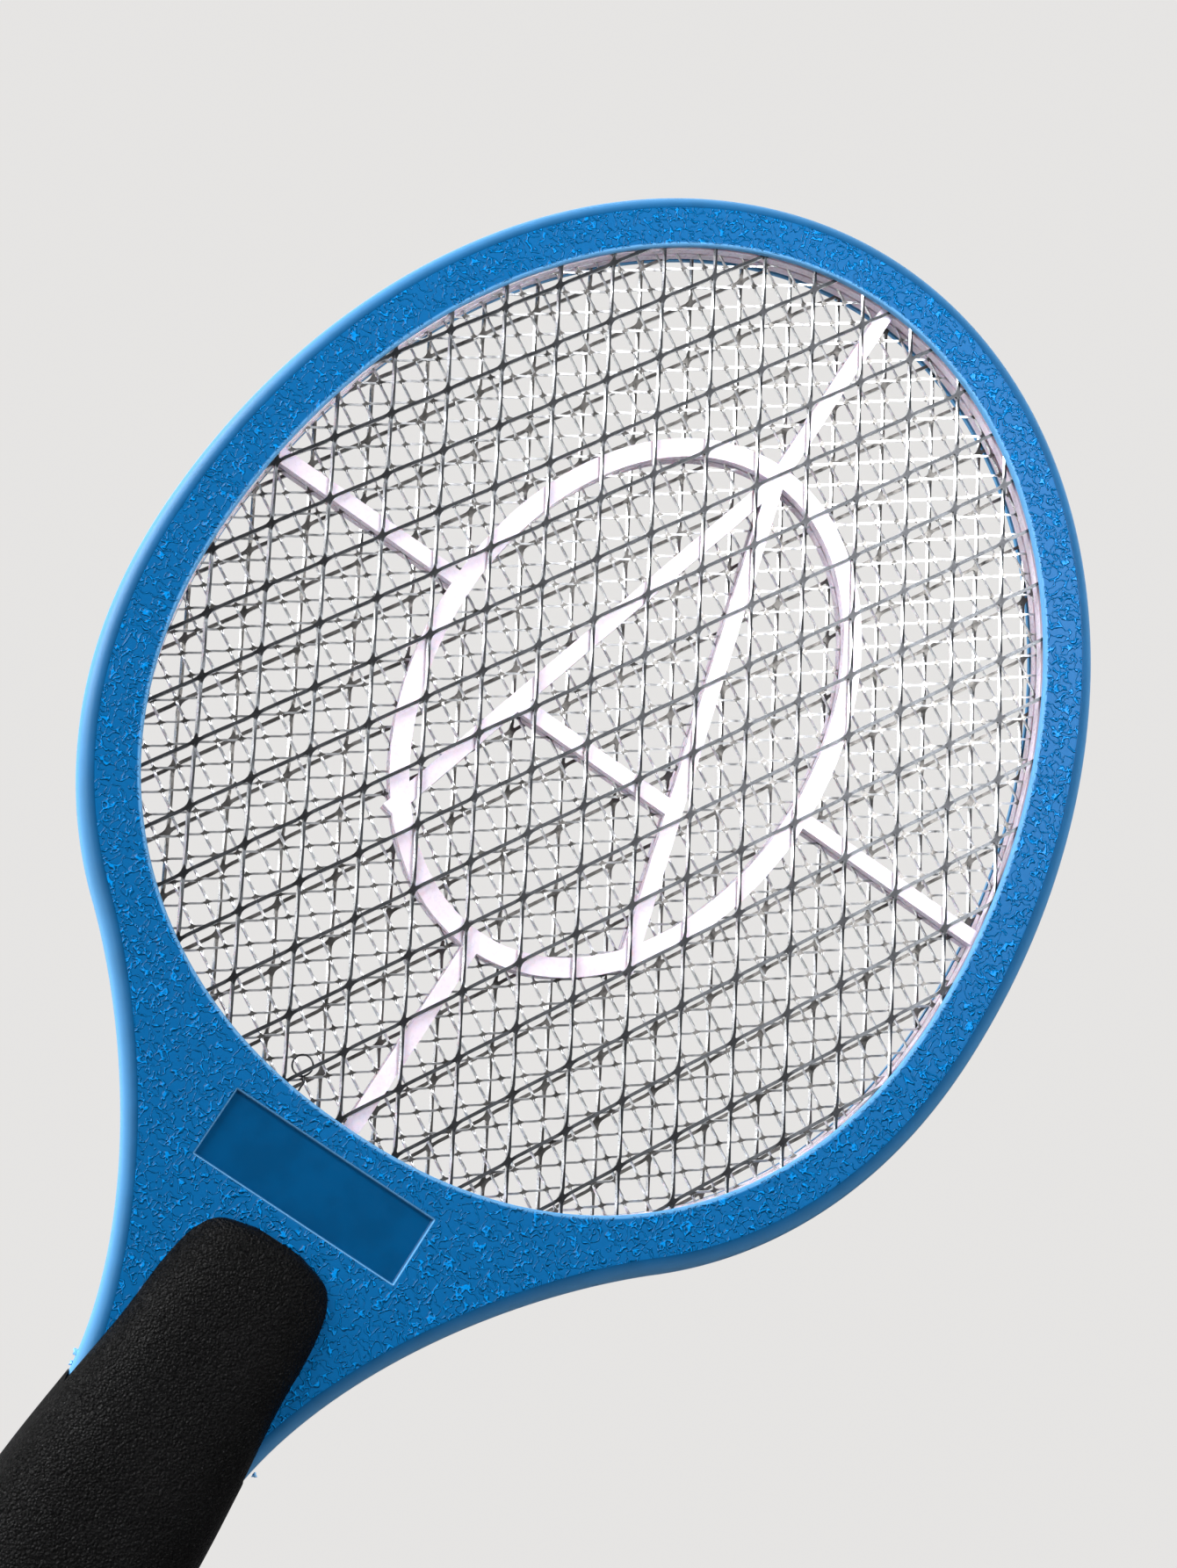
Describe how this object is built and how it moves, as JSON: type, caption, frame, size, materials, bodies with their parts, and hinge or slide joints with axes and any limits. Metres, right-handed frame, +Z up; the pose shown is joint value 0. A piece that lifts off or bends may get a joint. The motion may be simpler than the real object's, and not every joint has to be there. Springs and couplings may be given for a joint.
{
  "type": "electric fly swatter",
  "caption": "Racket-shaped electric fly swatter: an oval two-part plastic head holding layered steel grids, on a two-shell battery handle with a push button and sliding battery cover.",
  "frame": {"origin": "middle of the flat butt face at the lower end of the handle", "axes": "+Z up the handle to the top of the head, -Y out of the front face of the head (the button side), +X to the right seen from the front"},
  "size_m": [0.1798, 0.0299, 0.4477],
  "materials": {
    "frame_blue": "blue injection-moulded plastic with a leathered relief and smooth rounded edges",
    "spacer_white": "slightly lilac translucent white plastic",
    "grid_steel": "galvanised expanded steel, bright edges",
    "handle_black": "black plastic with a fine leather grain",
    "button_blue": "blue plastic",
    "screw_steel": "zinc-plated steel",
    "contact_steel": "nickel-plated spring steel",
    "lamp_red": "clear red lamp body",
    "board_green": "solder-masked board",
    "ferrite_grey": "dull sintered ferrite",
    "winding_tape": "yellow winding tape",
    "capacitor_brown": "dipped film capacitor",
    "capacitor_blue": "dipped disc capacitor",
    "component_black": "moulded component body",
    "resistor_tan": "lacquered resistor or switch plastic",
    "cell_wrap": "plain shrink-wrapped can",
    "wire_red": "insulated lead",
    "wire_black": "insulated lead",
    "wire_white": "insulated lead"
  },
  "bodies": {
    "racket": {"front_frame": "frame_blue", "rear_frame": "frame_blue", "front_spacer": "spacer_white", "rear_spacer": "spacer_white", "front_grid": "grid_steel", "middle_grid": "grid_steel", "rear_grid": "grid_steel", "middle_lead_eye": "contact_steel", "front_grid_lead": "wire_black", "middle_grid_lead": "wire_red", "rear_grid_lead": "wire_white", "handle_front": "handle_black", "handle_rear": "handle_black", "handle_screw_1": "screw_steel", "handle_screw_2": "screw_steel", "handle_screw_3": "screw_steel", "switch_body": "component_black", "indicator_lamp": "lamp_red", "circuit_board": "board_green", "transformer_core": "ferrite_grey", "transformer_winding": "winding_tape", "high_voltage_capacitor": "capacitor_brown", "multiplier_capacitor_1": "capacitor_blue", "multiplier_capacitor_2": "capacitor_blue", "rectifier_diode_1": "component_black", "rectifier_diode_2": "component_black", "rectifier_diode_3": "component_black", "switching_transistor": "component_black", "base_resistor": "resistor_tan", "bleed_resistor": "resistor_tan", "battery_cell_1": "cell_wrap", "battery_cell_2": "cell_wrap", "cell_spring_1": "contact_steel", "cell_spring_2": "contact_steel", "contact_bridge": "contact_steel", "positive_contact": "contact_steel", "negative_contact": "contact_steel", "positive_battery_lead": "wire_red", "negative_battery_lead": "wire_black"},
    "button": {"push_button": "button_blue", "switch_plunger": "resistor_tan"},
    "cover": {"battery_cover": "handle_black"}
  },
  "joints": [
    {"name": "button_press", "type": "slide", "parent": "racket", "child": "button", "axis": [0, 1, 0], "range_m": [0, 0.001], "stiffness_N_per_m": 1500},
    {"name": "cover_slide", "type": "slide", "parent": "racket", "child": "cover", "axis": [0, 0, -1], "range_m": [0, 0.06]}
  ]
}
